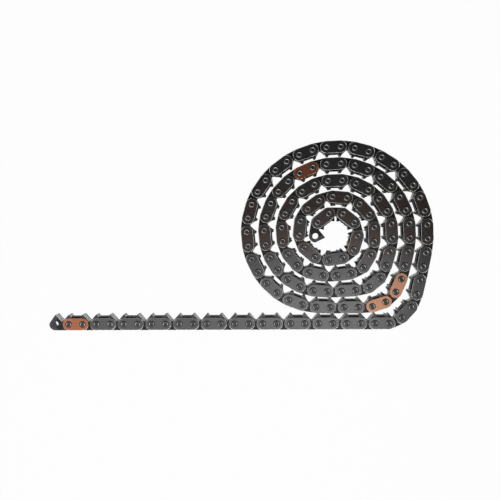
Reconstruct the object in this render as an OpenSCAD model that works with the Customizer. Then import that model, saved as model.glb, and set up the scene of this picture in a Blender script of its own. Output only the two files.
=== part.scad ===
// Inverted-tooth timing chain, opened at its joining link and laid down as a coil with a straight tail.
// Millimetres. Origin on the open hole at the free end of the tail, halfway through the chain's width.
// X runs along the tail, Y points to the teeth, Z runs along the pins.

/* [Chain] */
// Distance between neighbouring pin axes
pitch = 8; // [6:0.5:12]
// Guide links in the whole strip
guide_links = 70; // [50:1:90]
// Guide links in the straight tail
tail_guide_links = 12; // [4:1:14]
// Guide links with copper-plated side plates, counted from the free end
marked_links = [1, 32, 33, 40];

/* [Side plates] */
// Sheet thickness
side_plate_t = 1; // [0.6:0.1:1.6]
// Free space between neighbouring side plates
side_plate_space = 1; // [0.5:0.1:1.5]
// Chamfer along the outer edge
side_plate_edge = 0.2; // [0.1:0.05:0.3]

/* [Toothed plates] */
// Sheet thickness
toothed_plate_t = 1.2; // [0.8:0.1:1.6]
// Free space between neighbouring plates of one row
toothed_plate_space = 0.9; // [0.5:0.1:1.2]
// Rows of plates on an inner link; a guide link has one fewer
inner_rows = 4; // [3:1:5]
// Height of the tooth tips above the pin line
tip_h = 5.4; // [5:0.1:6]
// Radius of a tooth tip
tip_r = 0.5; // [0.4:0.05:0.7]
// Height of the shallow space between a guide link's teeth above the pin line
crotch_h = 4.2; // [3.8:0.1:4.4]
// Radius in the corners of that space
crotch_r = 0.5; // [0.3:0.05:0.6]
// Radius at the bottom of the deep notch between an inner link's teeth
notch_r = 0.6; // [0.4:0.05:0.8]
// Distance from a pin axis to the outer flank beside it
flank_reach = 3.15; // [3:0.05:3.3]
// Lean of the outer flank, in degrees
flank_angle = 35; // [33:1:37]
// Lean of the inner flank, in degrees
crotch_angle = 41; // [38:1:43]

/* [Pins] */
// Shank diameter
pin_d = 3.5; // [2.8:0.1:4]
// Overhang of the riveted head around the shank
head_lip = 0.2; // [0.1:0.05:0.3]
// Height of the riveted head
head_h = 0.3; // [0.2:0.05:0.5]
// Width and drop of the sloping rim of the head
rim_w = 0.35; // [0.2:0.05:0.5]
rim_drop = 0.2; // [0.1:0.05:0.25]
// Diameter of the hollow left by the rivet punch
dimple_d = 2.5; // [1.8:0.1:2.8]
// Width of the hollow's sloping wall
dimple_wall = 0.4; // [0.2:0.05:0.5]
// Depth of that hollow
dimple_depth = 0.25; // [0.1:0.05:0.3]

/* [Clearances] */
// Running clearance around a pin, on the radius
pin_clearance = 0.05; // [0.02:0.01:0.1]
// Space between plates side by side on a pin
plate_clearance = 0.05; // [0.03:0.01:0.1]
// Space between one turn's tooth tips and the backs of the next turn
turn_clearance = 0.8; // [0.7:0.05:2]

/* [Coil] */
// Polar angle at which the tail leaves the coil, in degrees
coil_start = -51; // [-56:1:-46]
// Radius kept free at the middle
coil_eye = 4.4; // [4:0.1:8]
// How far the coil is pressed oval
coil_oval = 1.4; // [0:0.1:1.6]
// Polar angle of the oval's long axis, in degrees
oval_at = 11; // [0:1:20]
// How far the coil bulges out at the corner where the tail leaves it
coil_bulge = 9.5; // [9:0.1:11]
// Polar angle of the bulge, in degrees
bulge_at = -50; // [-52:0.5:-48]
// Sharpness of the bulge
bulge_power = 32; // [24:1:40]
// How far the coil is flattened along the tail
coil_flat = 2; // [1.8:0.1:2.2]
// Polar angle of the middle of the flat, in degrees
flat_at = -92; // [-98:1:-88]
// Sharpness of the flat's ends
flat_power = 20; // [12:1:28]
// Bend of the last link at the inner end, in degrees
end_bend = 43; // [36:1:46]

/* [Hidden] */
$fn = 64;
slack = 1;
// How far an arc reaches over the straight edge that it runs into
arc_lap = 0.04;

side_plate_r = (pitch - side_plate_space) / 2;
plate_r = (pitch - toothed_plate_space) / 2;
hole_r = pin_d / 2 + pin_clearance;
head_r = pin_d / 2 + head_lip;

// Flanks of a toothed plate at height y, and the middle of the tip's arc
function flank_x(y) = pitch / 2 + flank_reach / cos(flank_angle) - y * tan(flank_angle);
tip_y = tip_h - tip_r;
tip = [flank_x(tip_y) - (tip_r - arc_lap) / cos(flank_angle), tip_y];
function crotch_x(y) = tip[0] - (tip_r - arc_lap) / cos(crotch_angle) + (y - tip_y) * tan(crotch_angle);

// Rows of toothed plates: inner-link plates and guide-link plates take turns
rows = 2 * inner_rows - 1;
row_step = toothed_plate_t + plate_clearance;
stack_half = (rows * row_step + plate_clearance) / 2;
width_half = stack_half + side_plate_t;

// Links and pins are counted from the free end of the tail: even links are inner links
links = 2 * guide_links + 1;
tail_pitches = 2 * tail_guide_links;
coil_pitches = links - tail_pitches - 2;
turn = tip_h + plate_r + turn_clearance;
coil_r0 = sqrt(coil_pitches * pitch * turn / PI + coil_eye * coil_eye);

steel = [0.33, 0.33, 0.35];
dark_steel = [0.24, 0.24, 0.26];
pin_steel = [0.55, 0.55, 0.57];
copper = [0.62, 0.36, 0.22];

// Coil: an Archimedean spiral, wound inwards, pressed a little oval, flattened along the tail and
// bulging at one corner; these changes fade towards the middle
function mean_r(a) = coil_r0 - turn * (a - coil_start) / 360;
function lobe(a, at, power) = pow((1 + cos(a - at)) / 2, power);
function oval(a) = coil_oval * cos(2 * (a - oval_at));
function flat(a) = coil_flat * lobe(a, flat_at, flat_power);
function bulge(a) = coil_bulge * lobe(a, bulge_at, bulge_power);
function coil_r(a) =
    let (fade = mean_r(a) / coil_r0)
    norm([mean_r(a), coil_eye]) + fade * (oval(a) - flat(a) + fade * bulge(a));
function coil_point(a) = coil_r(a) * [cos(a), sin(a)];

// Angle of the next pin, one pitch further along the coil, by halving the interval
function next_angle(a, low = 0, high = 100, rounds = 36) =
    let (mid = (low + high) / 2)
    rounds == 0 ? a + mid
    : norm(coil_point(a + mid) - coil_point(a)) < pitch ? next_angle(a, mid, high, rounds - 1)
    : next_angle(a, low, mid, rounds - 1);

function heading(from, to) = atan2(to[1] - from[1], to[0] - from[0]);
function along(angle) = pitch * [cos(angle), sin(angle)];

coil_angles = [for (i = 0, a = coil_start; i <= coil_pitches; i = i + 1, a = next_angle(a)) a];
spiral = [for (a = coil_angles) coil_point(a)];

// The corner between tail and coil is shared evenly by the joints at both ends of one link
corner = heading(spiral[0], spiral[1]) / 2;
coil_centre = [tail_pitches * pitch, 0] + along(corner) - spiral[0];
tail_pin_axes = [for (k = [0 : tail_pitches]) [k * pitch, 0]];
coil_pin_axes = [for (p = spiral) coil_centre + p];
end_heading = heading(spiral[coil_pitches - 1], spiral[coil_pitches]) + end_bend;
end_hole = coil_pin_axes[coil_pitches] + along(end_heading);
pins = concat(tail_pin_axes, coil_pin_axes, [end_hole]);

// Node names
function two_digits(n) = str(n < 10 ? "0" : "", n);
function side_node(n) = str("guide_link_", two_digits(n), "_side_plates");
function toothed_node(n) = str("guide_link_", two_digits(n), "_toothed_plates");
function pin_node(n) = str("guide_link_", two_digits(n), "_pins");
function inner_node(n) = str("inner_link_", two_digits(n), "_toothed_plates");
function is_marked(n) = len(search(n, marked_links)) > 0;

tail_guides = [1 : tail_guide_links];
tail_inners = [1 : tail_guide_links + 1];
coil_guides = [tail_guide_links + 1 : guide_links];
coil_inners = [tail_guide_links + 2 : guide_links];

// Puts a piece drawn about a link's middle where that link lies
module at_link(i) {
    translate((pins[i] + pins[i + 1]) / 2)
        rotate(heading(pins[i], pins[i + 1]))
            children();
}

module at_both_pins() {
    for (side = [-1, 1])
        translate([side * pitch / 2, 0])
            children();
}

// Side plate: a straight-sided plate with round ends, pressed on both pins and chamfered outside
module side_plate() {
    flat_t = side_plate_t - side_plate_edge;
    rim_r = side_plate_r - side_plate_edge;
    difference() {
        union() {
            linear_extrude(flat_t) {
                at_both_pins() circle(side_plate_r);
                square([pitch, 2 * side_plate_r], center = true);
            }
            at_both_pins()
                translate([0, 0, flat_t])
                    cylinder(h = side_plate_edge, r1 = side_plate_r, r2 = rim_r);
            rotate([90, 0, 90])
                linear_extrude(pitch, center = true)
                    polygon([
                        [-side_plate_r, flat_t], [side_plate_r, flat_t],
                        [rim_r, side_plate_t], [-rim_r, side_plate_t]
                    ]);
        }
        at_both_pins()
            translate([0, 0, -slack])
                cylinder(h = side_plate_t + 2 * slack, d = pin_d);
    }
}

// One tooth, still wide on both sides of its round tip, beside the pin on the right
module tooth() {
    reach = 2 * tip_r;
    outer = reach * [cos(flank_angle - 10), sin(flank_angle - 10)];
    inner = reach * [-cos(crotch_angle - 10), sin(crotch_angle - 10)];
    pin_axis = [pitch / 2, 0];
    shoulder = pin_axis + (flank_reach + plate_r) / 2 * [cos(flank_angle), sin(flank_angle)];
    translate(tip) circle(tip_r);
    polygon([tip, tip + outer, shoulder, pin_axis, [0, 0], [0, tip[1]], tip + inner]);
}

// Shallow space between a guide link's teeth, with round corners
module crotch() {
    corner_r = crotch_r - arc_lap;
    corner_x = crotch_x(crotch_h) - corner_r / tan((90 + crotch_angle) / 2);
    corner = [corner_x, crotch_h + corner_r];
    flank_end = corner + corner_r * [cos(crotch_angle), -sin(crotch_angle)];
    above = tip_h + slack;
    for (side = [0, 1])
        mirror([side, 0]) {
            translate(corner) circle(crotch_r);
            polygon([
                [-slack, crotch_h], [corner_x, crotch_h], flank_end,
                [crotch_x(above), above], [-slack, above]
            ]);
        }
}

// Deep notch between an inner link's teeth: both inner flanks run down to one round bottom
module notch() {
    bottom_r = notch_r - arc_lap;
    bottom_y = (bottom_r / cos(crotch_angle) - crotch_x(0)) / tan(crotch_angle);
    flank_end = [bottom_r * cos(crotch_angle), bottom_y - bottom_r * sin(crotch_angle)];
    above = tip_h + slack;
    translate([0, bottom_y]) circle(notch_r);
    polygon([
        [0, bottom_y], flank_end, [crotch_x(above), above],
        [-crotch_x(above), above], [-flank_end[0], flank_end[1]]
    ]);
}

// Toothed plate: back and ends round about the pins, two teeth, and straight cuts for the outer flanks;
// the space between the teeth is the child
module toothed_plate(plate_hole_r) {
    below = plate_r + slack;
    above = tip_h + slack;
    linear_extrude(toothed_plate_t, center = true)
        difference() {
            intersection() {
                union() {
                    at_both_pins() circle(plate_r);
                    translate([-pitch / 2, -plate_r]) square([pitch, plate_r + tip[1]]);
                    tooth();
                    mirror([1, 0]) tooth();
                }
                polygon([
                    [-flank_x(-below), -below], [flank_x(-below), -below],
                    [flank_x(above), above], [-flank_x(above), above]
                ]);
            }
            children();
            at_both_pins() circle(plate_hole_r);
        }
}

// Pin: a straight shank with a riveted, punch-marked head outside each side plate
module pin() {
    top = width_half + head_h;
    floor_r = dimple_d / 2 - dimple_wall;
    head = [
        [head_r, width_half], [head_r, top - rim_drop], [head_r - rim_w, top],
        [dimple_d / 2, top], [floor_r, top - dimple_depth], [0, top - dimple_depth]
    ];
    foot = [for (i = [len(head) - 1 : -1 : 0]) [head[i][0], -head[i][1]]];
    rotate_extrude()
        polygon(concat(foot, [[pin_d / 2, -width_half], [pin_d / 2, width_half]], head));
}

// Pieces of guide link n
module link_side_plates(n) {
    at_link(2 * n - 1)
        for (face = [0, 1])
            mirror([0, 0, face])
                translate([0, 0, stack_half])
                    side_plate();
}

module link_toothed_plates(n) {
    at_link(2 * n - 1)
        for (row = [1 : 2 : rows - 2])
            translate([0, 0, (row - (rows - 1) / 2) * row_step])
                toothed_plate(pin_d / 2) crotch();
}

module link_pins(n) {
    at_link(2 * n - 1)
        at_both_pins()
            pin();
}

// Plates of inner link n, free to turn on the pins of the guide links beside it
module inner_plates(n) {
    at_link(2 * n - 2)
        for (row = [0 : 2 : rows - 1])
            translate([0, 0, (row - (rows - 1) / 2) * row_step])
                toothed_plate(hole_r) notch();
}

// Straight tail, one link after the other
for (n = tail_guides) {
    color(is_marked(n) ? copper : steel) link_side_plates(n);
    color(dark_steel) link_toothed_plates(n);
    color(pin_steel) link_pins(n);
}
for (n = tail_inners) {
    color(dark_steel) inner_plates(n);
}

// Coil
/* coil_side_plates */ color(steel) for (n = coil_guides) if (!is_marked(n)) link_side_plates(n);
/* coil_marked_side_plates */ color(copper) for (n = coil_guides) if (is_marked(n)) link_side_plates(n);
color(dark_steel) for (n = coil_guides) link_toothed_plates(n);  // coil_toothed_plates
color(dark_steel) for (n = coil_inners) inner_plates(n);  // coil_inner_link_plates
color(pin_steel) for (n = coil_guides) link_pins(n);  // coil_pins
color(dark_steel) inner_plates(guide_links + 1);  // coil_end_link_plates
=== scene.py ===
import math

import bpy
from mathutils import Matrix, Vector


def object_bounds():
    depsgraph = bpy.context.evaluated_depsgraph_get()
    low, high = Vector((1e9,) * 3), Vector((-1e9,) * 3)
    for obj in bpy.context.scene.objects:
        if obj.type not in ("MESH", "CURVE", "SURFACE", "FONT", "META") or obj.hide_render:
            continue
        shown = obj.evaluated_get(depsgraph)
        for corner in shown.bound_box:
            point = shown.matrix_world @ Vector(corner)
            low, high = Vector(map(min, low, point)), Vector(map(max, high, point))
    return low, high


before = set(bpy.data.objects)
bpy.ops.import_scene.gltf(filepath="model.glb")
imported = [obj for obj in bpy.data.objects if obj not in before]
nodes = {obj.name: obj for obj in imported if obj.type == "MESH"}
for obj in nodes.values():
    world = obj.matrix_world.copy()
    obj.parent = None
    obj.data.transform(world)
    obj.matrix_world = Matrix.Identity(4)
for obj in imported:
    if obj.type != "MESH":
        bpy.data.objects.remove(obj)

cad_low, cad_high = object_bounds()
MM = 0.001

# Pins. Hardened round steel pins, two to a guide link, pressed through its plates.
# Both ends are spun over the side plates, which leaves a bright ring round a dull hollow from the punch.

WELD_GAP = 0.002 * MM
HOLLOW_R = 0.85 * MM
CREST_R = 1.25 * MM
ROLL_R = 1.6 * MM
RING_HALF = 0.16 * MM
RING_FADE = 0.05 * MM
SPIN_MARK = 0.11 * MM
PIN_SPOT = 0.5 * MM
PIN_GRAIN = 0.12 * MM
NOISE_ROUGH = 0.55

# The heights are shares of the drop of the rolled rim.
ROLL_DROP = 0.16 * MM
HOLLOW_HEIGHT = 0.5
GRAIN_HEIGHT = 0.04
SPIN_HEIGHT = 0.006

# A pair of colours is a finish's darkest and lightest tone, and a pair of roughnesses its two ends.
HOLLOW_STEEL = ((0.055, 0.053, 0.051), (0.115, 0.111, 0.105))
RIM_STEEL = ((0.07, 0.07, 0.069), (0.13, 0.129, 0.126))
RING_STEEL = ((0.70, 0.69, 0.67), (0.92, 0.91, 0.89))
RING_ROUGH = 0.20
PIN_ROUGH = (0.36, 0.50)

# The values of a noise between which a finish goes from one end to the other.
NOISE_CORE = (0.3, 0.7)

# Where Blender's mix node has its first and second input and its result.
MIX_SOCKETS = {"FLOAT": (2, 3, 0), "RGBA": (6, 7, 2)}


def vectors(tree, operation, first, second=None, result="Vector"):
    # One step of vector arithmetic, on sockets or fixed places.
    node = tree.nodes.new("ShaderNodeVectorMath")
    node.operation = operation
    other = node.inputs["Scale"] if operation == "SCALE" else node.inputs[1]
    for socket, value in ((node.inputs[0], first), (other, second)):
        if isinstance(value, tuple):
            socket.default_value = value
        elif value is not None:
            tree.links.new(value, socket)
    return node.outputs[result]


def piece_total(tree, island, domain, kind, value=None):
    # A value added up over each separate plate or pin, or the number of its points if there is no value.
    node = tree.nodes.new("GeometryNodeAccumulateField")
    node.data_type = kind
    node.domain = domain
    if value is not None:
        tree.links.new(value, node.inputs["Value"])
    tree.links.new(island, node.inputs["Group ID"])
    return node.outputs["Total"]


def places_tree():
    # Marks every point with the middle of the separate piece that it belongs to, so that each plate or pin
    # can take a slightly different tone, and with the way that the piece's teeth point. A toothed plate has
    # more corners on its tooth side: the mean of its corners lies that way from the mean of its faces.
    tree = bpy.data.node_groups.new("piece_places", "GeometryNodeTree")
    tree.is_modifier = True
    tree.interface.new_socket("Geometry", in_out="INPUT", socket_type="NodeSocketGeometry")
    gap = tree.interface.new_socket("Weld gap", in_out="INPUT", socket_type="NodeSocketFloat")
    gap.default_value = WELD_GAP
    tree.interface.new_socket("Geometry", in_out="OUTPUT", socket_type="NodeSocketGeometry")
    add = tree.nodes.new
    link = tree.links.new
    source = add("NodeGroupInput")
    result = add("NodeGroupOutput")
    merge = add("GeometryNodeMergeByDistance")
    link(source.outputs["Geometry"], merge.inputs["Geometry"])
    link(source.outputs["Weld gap"], merge.inputs["Distance"])
    place = add("GeometryNodeInputPosition").outputs["Position"]
    island = add("GeometryNodeInputMeshIsland").outputs["Island Index"]
    area = add("GeometryNodeInputMeshFaceArea").outputs["Area"]
    corner_total = piece_total(tree, island, "POINT", "FLOAT_VECTOR", place)
    corner_count = piece_total(tree, island, "POINT", "FLOAT")
    corner_mean = vectors(tree, "DIVIDE", corner_total, corner_count)
    face_total = piece_total(tree, island, "FACE", "FLOAT_VECTOR", vectors(tree, "SCALE", place, area))
    face_area = piece_total(tree, island, "FACE", "FLOAT", area)
    face_mean = vectors(tree, "DIVIDE", face_total, face_area)
    way = vectors(tree, "NORMALIZE", vectors(tree, "SUBTRACT", corner_mean, face_mean))
    nearest = add("GeometryNodeSampleNearest")
    link(merge.outputs["Geometry"], nearest.inputs["Geometry"])
    marked = source.outputs["Geometry"]
    for name, value in (("piece_centre", corner_mean), ("tooth_way", way)):
        sample = add("GeometryNodeSampleIndex")
        sample.data_type = "FLOAT_VECTOR"
        link(merge.outputs["Geometry"], sample.inputs["Geometry"])
        link(value, sample.inputs["Value"])
        link(nearest.outputs["Index"], sample.inputs["Index"])
        store = add("GeometryNodeStoreNamedAttribute")
        store.data_type = "FLOAT_VECTOR"
        store.domain = "POINT"
        store.inputs["Name"].default_value = name
        link(marked, store.inputs["Geometry"])
        link(sample.outputs["Value"], store.inputs["Value"])
        marked = store.outputs["Geometry"]
    link(marked, result.inputs["Geometry"])
    return tree


PLACES = places_tree()


def dress(names, material):
    for name in names:
        piece = nodes[name]
        marks = piece.modifiers.new("piece_places", "NODES")
        marks.node_group = PLACES
        piece.data.materials.clear()
        piece.data.materials.append(material)


def new_metal(name):
    metal = bpy.data.materials.new(name)
    metal.use_nodes = True
    shader = metal.node_tree.nodes["Principled BSDF"]
    shader.inputs["Metallic"].default_value = 1.0
    return metal, metal.node_tree, shader


def noise(tree, coords, cell, detail=3.0):
    # Cell is the size of the blotches in metres.
    node = tree.nodes.new("ShaderNodeTexNoise")
    node.inputs["Scale"].default_value = 1.0 / cell
    node.inputs["Detail"].default_value = detail
    node.inputs["Roughness"].default_value = NOISE_ROUGH
    tree.links.new(coords.outputs["Object"], node.inputs["Vector"])
    return node.outputs["Fac"]


def ramp(tree, value, low, high, to_low=0.0, to_high=1.0, course="SMOOTHSTEP"):
    node = tree.nodes.new("ShaderNodeMapRange")
    node.interpolation_type = course
    node.inputs["From Min"].default_value = low
    node.inputs["From Max"].default_value = high
    node.inputs["To Min"].default_value = to_low
    node.inputs["To Max"].default_value = to_high
    tree.links.new(value, node.inputs["Value"])
    return node.outputs["Result"]


def soft_step(tree, value, edge, fade, to_low=0.0, to_high=1.0):
    return ramp(tree, value, edge - fade, edge + fade, to_low, to_high)


def maths(tree, operation, first, second=None):
    node = tree.nodes.new("ShaderNodeMath")
    node.operation = operation
    for socket, value in zip(node.inputs, (first, second)):
        if isinstance(value, (int, float)):
            socket.default_value = value
        elif value is not None:
            tree.links.new(value, socket)
    return node.outputs["Value"]


def mix(tree, kind, factor, first, second):
    # Goes from the first to the second as the factor goes from 0 to 1. Each is fixed or comes from a node.
    node = tree.nodes.new("ShaderNodeMix")
    node.data_type = kind
    first_in, second_in, mixed = MIX_SOCKETS[kind]
    tree.links.new(factor, node.inputs["Factor"])
    for socket, value in ((node.inputs[first_in], first), (node.inputs[second_in], second)):
        if isinstance(value, tuple):
            socket.default_value = (*value, 1.0)
        elif isinstance(value, float):
            socket.default_value = value
        else:
            tree.links.new(value, socket)
    return node.outputs[mixed]


def mix_colour(tree, factor, first, second):
    return mix(tree, "RGBA", factor, first, second)


def mix_value(tree, factor, first, second):
    return mix(tree, "FLOAT", factor, first, second)


def upright(tree, coords):
    # How far a face looks straight up or down the pins: 1 on the flat faces, 0 on the edges of the plates.
    parts = tree.nodes.new("ShaderNodeSeparateXYZ")
    tree.links.new(coords.outputs["Normal"], parts.inputs["Vector"])
    return maths(tree, "ABSOLUTE", parts.outputs["Z"])


def mark(tree, name):
    # What places_tree has marked a point with.
    attribute = tree.nodes.new("ShaderNodeAttribute")
    attribute.attribute_name = name
    return attribute.outputs["Vector"]


def offset_from(tree, coords, place):
    # Where a point lies, seen from a fixed place or from the middle of its own plate or pin.
    return vectors(tree, "SUBTRACT", coords.outputs["Object"], place)


def from_axis(tree, coords, place):
    # Distance from the upright axis through a place.
    across = vectors(tree, "MULTIPLY", offset_from(tree, coords, place), (1.0, 1.0, 0.0))
    return vectors(tree, "LENGTH", across, result="Value")


def bump(tree, shader, height, depth):
    node = tree.nodes.new("ShaderNodeBump")
    node.inputs["Strength"].default_value = 1.0
    node.inputs["Distance"].default_value = depth
    tree.links.new(height, node.inputs["Height"])
    tree.links.new(node.outputs["Normal"], shader.inputs["Normal"])


def pin_steel():
    metal, tree, shader = new_metal("spun_pin_steel")
    link = tree.links.new
    coords = tree.nodes.new("ShaderNodeTexCoord")
    spots = noise(tree, coords, PIN_SPOT)
    reach = from_axis(tree, coords, mark(tree, "piece_centre"))
    off_crest = maths(tree, "ABSOLUTE", maths(tree, "SUBTRACT", reach, CREST_R))
    off_ring = soft_step(tree, off_crest, RING_HALF, RING_FADE)
    hollow = ramp(tree, reach, HOLLOW_R, CREST_R, 1.0, 0.0)
    dull = mix_colour(tree, spots, *HOLLOW_STEEL)
    rubbed = mix_colour(tree, spots, *RIM_STEEL)
    bright = mix_colour(tree, spots, *RING_STEEL)
    worn = mix_colour(tree, hollow, rubbed, dull)
    link(mix_colour(tree, off_ring, bright, worn), shader.inputs["Base Color"])
    worn_rough = ramp(tree, spots, *NOISE_CORE, *PIN_ROUGH)
    link(mix_value(tree, off_ring, RING_ROUGH, worn_rough), shader.inputs["Roughness"])
    rolled_in = ramp(tree, reach, HOLLOW_R, CREST_R, HOLLOW_HEIGHT, 0.0, "LINEAR")
    rolled_out = ramp(tree, reach, CREST_R, ROLL_R, 1.0, 0.0, "LINEAR")
    rolled = maths(tree, "ADD", rolled_in, rolled_out)
    rings = maths(tree, "SINE", maths(tree, "MULTIPLY", reach, 2.0 * math.pi / SPIN_MARK))
    spin_marks = maths(tree, "MULTIPLY", rings, SPIN_HEIGHT)
    grain = maths(tree, "MULTIPLY", noise(tree, coords, PIN_GRAIN), GRAIN_HEIGHT)
    marks = maths(tree, "ADD", grain, spin_marks)
    bump(tree, shader, maths(tree, "ADD", rolled, marks), ROLL_DROP)
    return metal


PIN_STEEL = pin_steel()
dress([name for name in nodes if name.endswith("pins")], PIN_STEEL)

# Toothed plates. Thin blanked steel plates with two inverted teeth, laced seven deep across the pins.
# Heat treatment leaves their faces dark, and painted shade makes them darker still: on the inner plates by
# the pins and between the teeth, where they lie sunk between the side plates, and all over on the guide
# plates, which lie deeper. The edges are bare metal, burnished by the punch above and torn below, and
# brightest on the flanks of the teeth.

PAINTED_SHADE_REACH = 4.2 * MM
PAINTED_SHADE_FADE = 0.4 * MM
TOOTH_SIDE = 1.2 * MM
TOOTH_FADE = 0.3 * MM
TORN_BELOW = -0.2 * MM
TORN_FADE = 0.06 * MM
TORN_RAGGED = 0.15 * MM
HOLE_WALL_R = 2.2 * MM
TAIL_HOLE = (0.0, 0.0, 0.0)
COIL_HOLE = (150.46 * MM, 49.81 * MM, 0.0)
TOOTH_BLOTCH = 1.6 * MM
TOOTH_BLOTCH_DETAIL = 4.0
TOOTH_GRIT = 0.15 * MM
TOOTH_GRIT_DEPTH = 0.012 * MM
NOISE_WIDE = (0.25, 0.75)
NOISE_FULL = (0.2, 0.8)

# How upright a face of a plate is, and how squarely an edge between the teeth looks the teeth's way; those
# crotch edges are painted with the faces' tone as shade.
FACE_UPRIGHT = (0.3, 0.8)
SHADED_CROTCH_FACING = (0.75, 0.92)

# Painted shade on the faces: the inner plates' tone by the pins and between the teeth, and the guide
# plates' tone all over.
INNER_PAINTED_SHADE = ((0.030, 0.030, 0.030), (0.062, 0.061, 0.060))
GUIDE_PAINTED_SHADE = ((0.018, 0.018, 0.018), (0.042, 0.041, 0.040))
UNSHADED_FACE = ((0.070, 0.071, 0.073), (0.135, 0.135, 0.137))
TORN_FLANK = ((0.40, 0.40, 0.395), (0.60, 0.595, 0.585))
BURNISHED_FLANK = ((0.80, 0.80, 0.79), (0.97, 0.965, 0.955))
# The backs are the same bare metal as the flanks, torn below and burnished above, painted darker as shade
# for the walls in the gaps between the turns.
TORN_BACK_WITH_PAINTED_SHADE = ((0.10, 0.10, 0.10), (0.20, 0.20, 0.195))
BURNISHED_BACK_WITH_PAINTED_SHADE = ((0.26, 0.26, 0.256), (0.42, 0.418, 0.41))
# Painted shade inside the open holes at the chain's two ends.
HOLE_WALL_PAINTED_SHADE = (0.11, 0.11, 0.11)
TOOTH_TINT = (0.85, 0.85, 0.85, 1.0)
FACE_ROUGH = (0.36, 0.50)
TORN_ROUGH = (0.46, 0.60)
BURNISHED_ROUGH = (0.28, 0.40)


def piece_chance(tree):
    # One random number for each separate plate.
    chance = tree.nodes.new("ShaderNodeTexWhiteNoise")
    chance.noise_dimensions = "3D"
    tree.links.new(mark(tree, "piece_centre"), chance.inputs["Vector"])
    return chance.outputs["Value"]


def along_teeth(tree, vector):
    # The part of a vector that points the way of the plate's teeth.
    return vectors(tree, "DOT_PRODUCT", vector, mark(tree, "tooth_way"), "Value")


def tooth_steel(name, painted_shade, inner):
    metal, tree, shader = new_metal(name)
    link = tree.links.new
    shader.inputs["Specular Tint"].default_value = TOOTH_TINT
    coords = tree.nodes.new("ShaderNodeTexCoord")
    centre = mark(tree, "piece_centre")
    blotches = noise(tree, coords, TOOTH_BLOTCH, TOOTH_BLOTCH_DETAIL)
    grit = noise(tree, coords, TOOTH_GRIT)
    chance = piece_chance(tree)
    flat = ramp(tree, upright(tree, coords), *FACE_UPRIGHT)
    face_with_painted_shade = mix_colour(tree, ramp(tree, blotches, *NOISE_WIDE), *painted_shade)
    offset = offset_from(tree, coords, centre)
    parts = tree.nodes.new("ShaderNodeSeparateXYZ")
    link(offset, parts.inputs["Vector"])
    wander = ramp(tree, blotches, *NOISE_FULL, -TORN_RAGGED, TORN_RAGGED)
    burnished = soft_step(tree, maths(tree, "ADD", parts.outputs["Z"], wander), TORN_BELOW, TORN_FADE)
    torn_flank = mix_colour(tree, grit, *TORN_FLANK)
    bright_flank = mix_colour(tree, chance, *BURNISHED_FLANK)
    flank = mix_colour(tree, burnished, torn_flank, bright_flank)
    # Painted shade: crotch edges that look the teeth's way take the dark face tone, for the shade in the
    # gaps between the turns.
    crotch_with_painted_shade = ramp(tree, along_teeth(tree, coords.outputs["Normal"]), *SHADED_CROTCH_FACING)
    flank = mix_colour(tree, crotch_with_painted_shade, flank, face_with_painted_shade)
    # Painted shade: the back edges are painted darker than the flanks, for the walls in the gaps between
    # the turns.
    torn_back_with_painted_shade = mix_colour(tree, grit, *TORN_BACK_WITH_PAINTED_SHADE)
    burnished_back_with_painted_shade = mix_colour(tree, chance, *BURNISHED_BACK_WITH_PAINTED_SHADE)
    back = mix_colour(tree, burnished, torn_back_with_painted_shade, burnished_back_with_painted_shade)
    on_teeth = soft_step(tree, along_teeth(tree, offset), TOOTH_SIDE, TOOTH_FADE)
    edge = mix_colour(tree, on_teeth, back, flank)
    if inner:
        # Painted shade: within this reach of its middle, where it lies sunk between the side plates, an
        # inner plate keeps the darker face tone.
        clear = soft_step(tree, from_axis(tree, coords, centre), PAINTED_SHADE_REACH, PAINTED_SHADE_FADE)
        face_with_painted_shade = mix_colour(tree, clear, face_with_painted_shade, mix_colour(tree, blotches, *UNSHADED_FACE))
        # Painted shade: the walls of the two open holes at the chain's ends are painted dark, as for the
        # shade inside a bore.
        tail_hole = from_axis(tree, coords, TAIL_HOLE)
        coil_hole = from_axis(tree, coords, COIL_HOLE)
        open_hole = maths(tree, "LESS_THAN", maths(tree, "MINIMUM", tail_hole, coil_hole), HOLE_WALL_R)
        edge = mix_colour(tree, open_hole, edge, HOLE_WALL_PAINTED_SHADE)
    link(mix_colour(tree, flat, edge, face_with_painted_shade), shader.inputs["Base Color"])
    face_rough = ramp(tree, blotches, *NOISE_CORE, *FACE_ROUGH)
    torn_rough = ramp(tree, grit, *NOISE_CORE, *TORN_ROUGH)
    burnished_rough = ramp(tree, grit, *NOISE_CORE, *BURNISHED_ROUGH)
    edge_rough = mix_value(tree, burnished, torn_rough, burnished_rough)
    link(mix_value(tree, flat, edge_rough, face_rough), shader.inputs["Roughness"])
    bump(tree, shader, grit, TOOTH_GRIT_DEPTH)
    return metal


INNER_STEEL = tooth_steel("inner_link_steel", INNER_PAINTED_SHADE, inner=True)
GUIDE_STEEL = tooth_steel("guide_link_steel", GUIDE_PAINTED_SHADE, inner=False)
inner_links = [name for name in nodes if name.startswith("inner_link") or name.endswith("link_plates")]
dress(inner_links, INNER_STEEL)
guide_plates = [name for name in nodes if name.endswith("toothed_plates") and name not in inner_links]
dress(guide_plates, GUIDE_STEEL)

# Side plates. Flat round-ended plates of tumbled steel, one pressed on each face of a guide link.
# Tumbling leaves a dark satin face and rubs the edge all round to a thin bright line. A painted warm
# reflection tints the faces brown, most of all in a band across the middle of the coil.

SATIN_BLOTCH = 1.3 * MM
SATIN_BLOTCH_DETAIL = 5.0
SATIN_GRIT = 0.14 * MM
SATIN_GRIT_DEPTH = 0.005 * MM
WARM_TINT_CLOUD = 14 * MM
WARM_TINT_CLOUD_DETAIL = 2.0
RUBBED_ROUGH = 0.40

# The rubbed edge is the chamfer, neither as steep as the rim of the plate nor as flat as its face.
STEEPEST_RUBBED = (0.3, 0.5)
FLATTEST_RUBBED = (0.85, 0.97)

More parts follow.
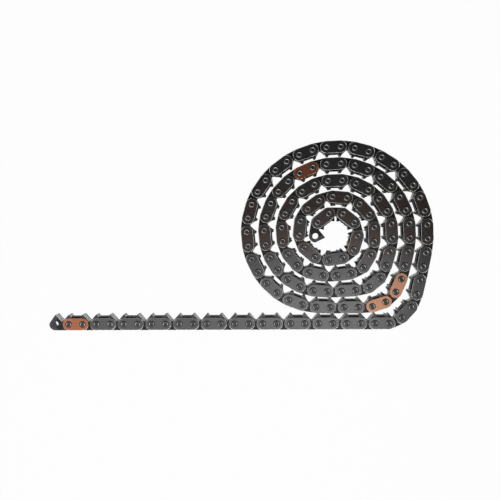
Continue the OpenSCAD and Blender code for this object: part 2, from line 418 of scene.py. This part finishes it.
# The steel's warm tint is a painted warm reflection, strongest in a band across the middle of the coil,
# faint elsewhere.
STEEL_WARM_REFLECTION = {
    "axis": "Y",
    "middle": 58 * MM,
    "half": 18 * MM,
    "fade": 9 * MM,
    "rest": 0.12,
    "clouds": (0.32, 0.58),
}


def plate_finish(name, satin, warm_tint, edge, rough, spread):
    # Spread says where the warm tint lies: a band across one axis, broken up by clouds.
    metal, tree, shader = new_metal(name)
    link = tree.links.new
    coords = tree.nodes.new("ShaderNodeTexCoord")
    blotches = noise(tree, coords, SATIN_BLOTCH, SATIN_BLOTCH_DETAIL)
    clouds = noise(tree, coords, WARM_TINT_CLOUD, WARM_TINT_CLOUD_DETAIL)
    grit = noise(tree, coords, SATIN_GRIT)
    chance = piece_chance(tree)
    up = upright(tree, coords)
    off_rim = ramp(tree, up, *STEEPEST_RUBBED)
    off_face = ramp(tree, up, *FLATTEST_RUBBED, 1.0, 0.0)
    rubbed = maths(tree, "MULTIPLY", off_rim, off_face)
    tone = maths(tree, "MULTIPLY", maths(tree, "ADD", ramp(tree, blotches, *NOISE_WIDE), chance), 0.5)
    parts = tree.nodes.new("ShaderNodeSeparateXYZ")
    link(coords.outputs["Object"], parts.inputs["Vector"])
    off_middle = maths(tree, "SUBTRACT", parts.outputs[spread["axis"]], spread["middle"])
    off_middle = maths(tree, "ABSOLUTE", off_middle)
    band = soft_step(tree, off_middle, spread["half"], spread["fade"], 1.0, spread["rest"])
    # The warm tint: a painted warm reflection on the steel side plates, a browner tone on the copper.
    warm_tint_share = maths(tree, "MULTIPLY", ramp(tree, clouds, *spread["clouds"]), band)
    face = mix_colour(tree, warm_tint_share, mix_colour(tree, tone, *satin), warm_tint)
    bright = mix_colour(tree, grit, *edge)
    link(mix_colour(tree, rubbed, face, bright), shader.inputs["Base Color"])
    face_rough = ramp(tree, blotches, *NOISE_CORE, *rough)
    link(mix_value(tree, rubbed, face_rough, RUBBED_ROUGH), shader.inputs["Roughness"])
    bump(tree, shader, grit, SATIN_GRIT_DEPTH)
    return metal


SIDE_STEEL = plate_finish(
    "tumbled_side_steel",
    satin=((0.098, 0.099, 0.103), (0.138, 0.139, 0.144)),
    warm_tint=(0.126, 0.098, 0.086),
    edge=((0.55, 0.55, 0.54), (0.80, 0.80, 0.79)),
    rough=(0.27, 0.36),
    spread=STEEL_WARM_REFLECTION,
)
MARKED = ("guide_link_01_side_plates", "coil_marked_side_plates")
plain_plates = [name for name in nodes if name.endswith("side_plates") and name not in MARKED]
dress(plain_plates, SIDE_STEEL)

# Marked side plates. The same plates with a thin copper plating, on the links that line up with the timing
# marks of the sprockets. The copper is worn pale at the edges and is browner on all but the two neighbours
# at the right.

COPPER_BROWN_SPREAD = {
    "axis": "X",
    "middle": 70 * MM,
    "half": 95 * MM,
    "fade": 15 * MM,
    "rest": 0.0,
    "clouds": (0.1, 0.45),
}
COPPER = plate_finish(
    "copper_plating",
    satin=((0.50, 0.235, 0.145), (0.68, 0.355, 0.225)),
    warm_tint=(0.47, 0.175, 0.098),
    edge=((0.62, 0.37, 0.25), (0.74, 0.50, 0.37)),
    rough=(0.34, 0.44),
    spread=COPPER_BROWN_SPREAD,
)
dress(MARKED, COPPER)

# Floor. A plain white sheet under the chain, which lies on it with its pin heads.
# It shows white and keeps a faint shadow.

SHEET_HALF = 1.5
SHEET_COLOUR = (0.90, 0.90, 0.90, 1.0)
SHEET_ROUGH = 0.9
SHEET_GLOW = 0.975


def white_sheet():
    paper = bpy.data.materials.new("white_sheet")
    paper.use_nodes = True
    tree = paper.node_tree
    link = tree.links.new
    shader = tree.nodes["Principled BSDF"]
    shader.inputs["Base Color"].default_value = SHEET_COLOUR
    shader.inputs["Roughness"].default_value = SHEET_ROUGH
    glow = tree.nodes.new("ShaderNodeEmission")
    path = tree.nodes.new("ShaderNodeLightPath")
    seen = maths(tree, "MAXIMUM", path.outputs["Is Camera Ray"], path.outputs["Is Glossy Ray"])
    seen = maths(tree, "MAXIMUM", seen, path.outputs["Is Transmission Ray"])
    blend = tree.nodes.new("ShaderNodeMixShader")
    link(maths(tree, "MULTIPLY", seen, SHEET_GLOW), blend.inputs["Fac"])
    link(shader.outputs["BSDF"], blend.inputs[1])
    link(glow.outputs["Emission"], blend.inputs[2])
    link(blend.outputs["Shader"], tree.nodes["Material Output"].inputs["Surface"])
    return paper


middle = (cad_low + cad_high) / 2
sheet_mesh = bpy.data.meshes.new("floor")
sheet_mesh.from_pydata(
    [(middle.x + sx * SHEET_HALF, middle.y + sy * SHEET_HALF, cad_low.z)
     for sx, sy in ((-1, -1), (1, -1), (1, 1), (-1, 1))],
    [],
    [(0, 1, 2, 3)],
)
floor = bpy.data.objects.new("floor", sheet_mesh)
bpy.context.scene.collection.objects.link(floor)
sheet_mesh.materials.append(white_sheet())

# Light. A dim room, a soft box close above the tail and a rounder one above the near side of the coil.
# Long low cards in front and at both sides draw the bright line along the plates' edges.

ROOM_GLOW = 0.10
CARD_AIM = (0.12, 0.05, 0.0)
CARD_HEIGHT = 0.12
world = bpy.data.worlds.new("studio")
bpy.context.scene.world = world
world.use_nodes = True
world.node_tree.nodes["Background"].inputs["Color"].default_value = (1.0, 1.0, 1.0, 1.0)
world.node_tree.nodes["Background"].inputs["Strength"].default_value = ROOM_GLOW


def soft_box(name, shape, place, aim, width, height, radiance):
    lamp = bpy.data.lights.new(name, "AREA")
    lamp.shape = shape
    lamp.size = width
    lamp.size_y = height
    lamp.energy = radiance * math.pi * width * height
    box = bpy.data.objects.new(name, lamp)
    bpy.context.scene.collection.objects.link(box)
    box.location = place
    box.rotation_euler = (Vector(aim) - Vector(place)).to_track_quat("-Z", "Y").to_euler()
    box.visible_camera = False


soft_box(
    "tail_soft_box",
    "RECTANGLE",
    place=(0.036, -0.070, 0.20),
    aim=(0.036, -0.070, 0.0),
    width=0.372,
    height=0.164,
    radiance=1.12,
)
soft_box(
    "coil_soft_box",
    "ELLIPSE",
    place=(0.175, 0.000, 0.19),
    aim=(0.175, 0.000, 0.0),
    width=0.14,
    height=0.072,
    radiance=0.86,
)
for card, place, width, radiance in (
    ("near_card", (0.12, -0.65, 0.06), 1.6, 4.0),
    ("left_card", (-0.55, 0.05, 0.06), 1.4, 2.2),
    ("right_card", (0.80, 0.05, 0.06), 1.4, 3.2),
):
    soft_box(card, "RECTANGLE", place, CARD_AIM, width, CARD_HEIGHT, radiance)

# Camera. High above the coil, a little to its far side, looking down at the middle of the picture.
# The tail then shows the edges of its teeth.

CAMERA_PLACE = Vector((0.132, 0.066, 0.500))
CAMERA_AIM = Vector((0.1131, 0.0423, 0.0054))
CAMERA_ROLL = 0.0086
FOCAL_PIXELS = 869.0
PHOTO_PIXELS = 500
SENSOR_WIDTH = 36.0
view_camera = bpy.data.cameras.new("camera")
view_camera.sensor_width = SENSOR_WIDTH
view_camera.lens = SENSOR_WIDTH * FOCAL_PIXELS / PHOTO_PIXELS
camera = bpy.data.objects.new("camera", view_camera)
bpy.context.scene.collection.objects.link(camera)
back = (CAMERA_PLACE - CAMERA_AIM).normalized()
right = Vector((math.sin(CAMERA_ROLL), math.cos(CAMERA_ROLL), 0.0)).cross(back).normalized()
camera.location = CAMERA_PLACE
camera.rotation_euler = Matrix((right, back.cross(right), back)).transposed().to_euler()
bpy.context.scene.camera = camera
bpy.context.scene.view_settings.view_transform = "Standard"
